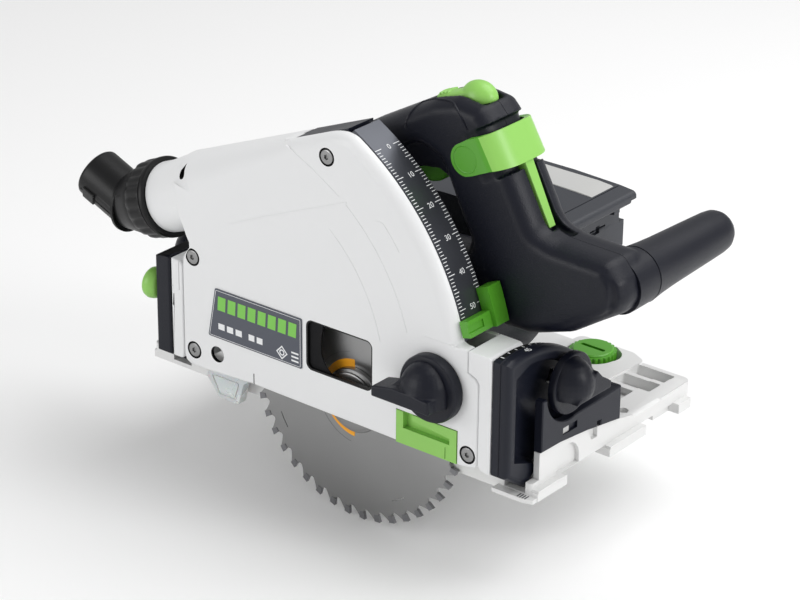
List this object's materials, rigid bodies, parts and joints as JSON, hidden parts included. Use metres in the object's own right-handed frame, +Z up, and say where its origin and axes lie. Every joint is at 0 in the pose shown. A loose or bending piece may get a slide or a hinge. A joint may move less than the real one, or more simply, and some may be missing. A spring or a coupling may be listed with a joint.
{
  "type": "track plunge saw",
  "caption": "Battery circular saw with a plunging blade and motor unit on a tilting housing over a guide-rail base, with dust spout, depth scale and two handles.",
  "frame": {"origin": "middle of the underside of the base plate", "axes": "+X is the cutting direction, +Y points from the blade to the motor, +Z is up"},
  "size_m": [0.3949, 0.211, 0.2818],
  "materials": {
    "painted_aluminium": "satin",
    "cast_aluminium": "satin",
    "navy_plastic": "fine texture",
    "black_plastic": "matt",
    "green_plastic": "satin",
    "blade_steel": "ground",
    "bright_steel": "turned",
    "clear_plastic": "translucent",
    "scale_plate": "satin",
    "grey_plastic": "fine texture",
    "copper": "enamelled",
    "label": "printed film"
  },
  "bodies": {
    "base": {"base_plate": "cast_aluminium", "glide_strip": "black_plastic", "front_tilt_bracket": "cast_aluminium", "rear_tilt_bracket": "cast_aluminium", "front_clamp_bolt": "bright_steel", "rear_clamp_bolt": "bright_steel", "front_block_cover": "navy_plastic"},
    "front_clamp": {"front_clamp_knob": "navy_plastic"},
    "rear_clamp": {"rear_clamp_knob": "navy_plastic"},
    "front_cam": {"front_rail_cam": "green_plastic"},
    "rear_cam": {"rear_rail_cam": "green_plastic"},
    "saw_unit": {"blade_cover": "painted_aluminium", "inner_plate": "cast_aluminium", "front_end_housing": "painted_aluminium", "rear_end_housing": "painted_aluminium", "front_tilt_quadrant": "navy_plastic", "rear_tilt_quadrant": "navy_plastic", "depth_scale": "scale_plate", "top_cap": "navy_plastic", "label_plate": "label", "plunge_pivot_pin": "bright_steel", "plunge_spring": "bright_steel", "flap_pin": "bright_steel", "cover_screw_1": "bright_steel", "cover_screw_2": "bright_steel", "cover_screw_3": "bright_steel", "cover_screw_4": "bright_steel"},
    "stop": {"depth_stop": "green_plastic"},
    "guard": {"splinter_guard": "green_plastic"},
    "guard_clamp": {"guard_knob": "navy_plastic"},
    "flap": {"kickback_flap": "clear_plastic"},
    "undercut_button": {"undercut_release": "green_plastic"},
    "ring_nut": {"dust_ring_nut": "black_plastic"},
    "nozzle": {"dust_nozzle": "black_plastic"},
    "motor_unit": {"gear_case": "cast_aluminium", "motor_housing": "navy_plastic", "stator": "copper", "spindle_bearing": "bright_steel", "rotor_bearing": "bright_steel", "control_board": "green_plastic", "handle_right_half": "navy_plastic", "handle_left_half": "navy_plastic", "switch_module": "grey_plastic", "side_handle": "navy_plastic", "battery_dock": "navy_plastic"},
    "blade": {"saw_blade": "blade_steel", "spindle": "bright_steel", "inner_flange": "bright_steel", "outer_flange": "bright_steel", "arbor_bolt": "bright_steel", "spindle_gear": "bright_steel"},
    "motor_rotor": {"rotor": "bright_steel", "motor_pinion": "bright_steel", "cooling_fan": "black_plastic"},
    "battery": {"battery_pack": "grey_plastic"},
    "latch": {"battery_latch": "green_plastic"},
    "trigger_lever": {"trigger": "green_plastic"},
    "thumb_slide": {"plunge_release_slide": "green_plastic"},
    "change_lever": {"blade_change_lever": "green_plastic"},
    "dial": {"speed_dial": "green_plastic"}
  },
  "joints": [
    {"name": "bevel_tilt", "type": "hinge", "parent": "base", "child": "saw_unit", "pos_m": [0.02, -0.0886, 0], "axis": [1, 0, 0], "range_deg": [-1, 47]},
    {"name": "front_clamp_turn", "type": "hinge", "parent": "base", "child": "front_clamp", "pos_m": [0.1454, -0.05235, 0.06279], "axis": [1, 0, 0], "range_deg": [0, 90]},
    {"name": "rear_clamp_turn", "type": "hinge", "parent": "base", "child": "rear_clamp", "pos_m": [-0.1334, -0.05235, 0.06279], "axis": [-1, 0, 0], "range_deg": [0, 90]},
    {"name": "front_cam_turn", "type": "hinge", "parent": "base", "child": "front_cam", "pos_m": [0.08, 0.0694, 0], "axis": [0, 0, 1], "range_deg": [-60, 60]},
    {"name": "rear_cam_turn", "type": "hinge", "parent": "base", "child": "rear_cam", "pos_m": [-0.1, 0.0694, 0], "axis": [0, 0, 1], "range_deg": [-60, 60]},
    {"name": "plunge", "type": "hinge", "parent": "saw_unit", "child": "motor_unit", "pos_m": [-0.06, -0.0886, 0.05], "axis": [0, -1, 0], "range_deg": [0, 40]},
    {"name": "depth_stop_travel", "type": "hinge", "parent": "saw_unit", "child": "stop", "pos_m": [-0.06, -0.0886, 0.05], "axis": [0, -1, 0], "range_deg": [0, 39]},
    {"name": "splinter_guard_travel", "type": "slide", "parent": "saw_unit", "child": "guard", "axis": [0, 0, -1], "range_m": [0, 0.015]},
    {"name": "guard_knob_turn", "type": "hinge", "parent": "saw_unit", "child": "guard_clamp", "pos_m": [0.089, -0.1026, 0.0607], "axis": [0, -1, 0], "range_deg": [0, 90]},
    {"name": "flap_swing", "type": "hinge", "parent": "saw_unit", "child": "flap", "pos_m": [-0.061, -0.0886, 0.021], "axis": [0, 1, 0], "range_deg": [0, 20], "stiffness_Nm_per_rad": 0.02},
    {"name": "undercut_pull", "type": "slide", "parent": "saw_unit", "child": "undercut_button", "axis": [-1, 0, 0], "range_m": [0, 0.006]},
    {"name": "ring_nut_turn", "type": "hinge", "parent": "saw_unit", "child": "ring_nut", "pos_m": [-0.135, -0.0804, 0.111], "axis": [-0.9336, 0, -0.3584], "range_deg": [0, 60]},
    {"name": "nozzle_swivel", "type": "hinge", "parent": "saw_unit", "child": "nozzle", "pos_m": [-0.16954, -0.0804, 0.09774], "axis": [-0.9336, 0, -0.3584], "continuous": true},
    {"name": "blade_spin", "type": "hinge", "parent": "motor_unit", "child": "blade", "pos_m": [0.02, -0.0886, 0.025], "axis": [0, 1, 0], "continuous": true},
    {"name": "rotor_spin", "type": "hinge", "parent": "motor_unit", "child": "motor_rotor", "pos_m": [0.03, -0.0886, 0.04791], "axis": [0, 1, 0], "continuous": true},
    {"name": "battery_travel", "type": "slide", "parent": "motor_unit", "child": "battery", "axis": [-1, 0, 0], "range_m": [0, 0.06]},
    {"name": "latch_press", "type": "slide", "parent": "battery", "child": "latch", "axis": [0, 0, -1], "range_m": [0, 0.004]},
    {"name": "trigger_squeeze", "type": "hinge", "parent": "motor_unit", "child": "trigger_lever", "pos_m": [0.062, -0.0436, 0.186], "axis": [0, 1, 0], "range_deg": [0, 5]},
    {"name": "thumb_slide_push", "type": "slide", "parent": "motor_unit", "child": "thumb_slide", "axis": [0.8571, 0, 0.5151], "range_m": [0, 0.003]},
    {"name": "change_lever_swing", "type": "hinge", "parent": "motor_unit", "child": "change_lever", "pos_m": [0.082, -0.0436, 0.188], "axis": [0, -1, 0], "range_deg": [0, 12]},
    {"name": "speed_dial_turn", "type": "hinge", "parent": "motor_unit", "child": "dial", "pos_m": [0.03, 0.0499, 0.06991], "axis": [0, 1, 0], "range_deg": [-135, 135]}
  ],
  "couplings": [
    {"joint": "rotor_spin", "follows": "blade_spin", "ratio": -3.1667}
  ]
}
